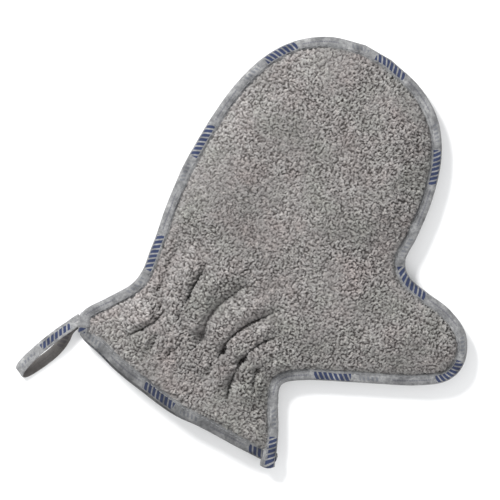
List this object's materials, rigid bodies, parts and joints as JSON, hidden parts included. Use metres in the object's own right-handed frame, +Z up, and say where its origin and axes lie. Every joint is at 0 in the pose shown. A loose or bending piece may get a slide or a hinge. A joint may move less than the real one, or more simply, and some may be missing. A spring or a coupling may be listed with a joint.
{
  "type": "wash mitt",
  "caption": "Plush microfibre wash mitt with a thumb, taped edge, elastic-gathered wrist, open cuff and a tape hanging loop.",
  "frame": {"origin": "middle of the whole mitt's footprint, loop included, on the surface that it lies on", "axes": "+Y from the cuff to the fingertips, +X to the thumb, +Z up from the palm to the back"},
  "size_m": [0.2556, 0.3036, 0.0266],
  "materials": {
    "plush": "dense curly microfibre pile, matt",
    "binding_tape": null,
    "elastic": "ribbed knitted elastic",
    "thread": "spun polyester thread"
  },
  "bodies": {
    "mitt": {"back_panel": "plush", "palm_panel": "plush", "edge_binding": "binding_tape", "back_hem_binding": "binding_tape", "palm_hem_binding": "binding_tape", "back_wrist_elastic": "elastic", "palm_wrist_elastic": "elastic", "loop_anchor": "binding_tape", "loop_bartack": "thread", "edge_stitching": "thread", "back_hem_stitching": "thread", "palm_hem_stitching": "thread", "back_elastic_stitching": "thread", "palm_elastic_stitching": "thread"},
    "loop": {"hanging_loop": "binding_tape"}
  },
  "joints": [
    {"name": "loop_swing", "type": "hinge", "parent": "mitt", "child": "loop", "pos_m": [-0.10987, -0.10612, 0.0071], "axis": [-0.925, 0.38, 0], "range_deg": [-50, 90]}
  ]
}
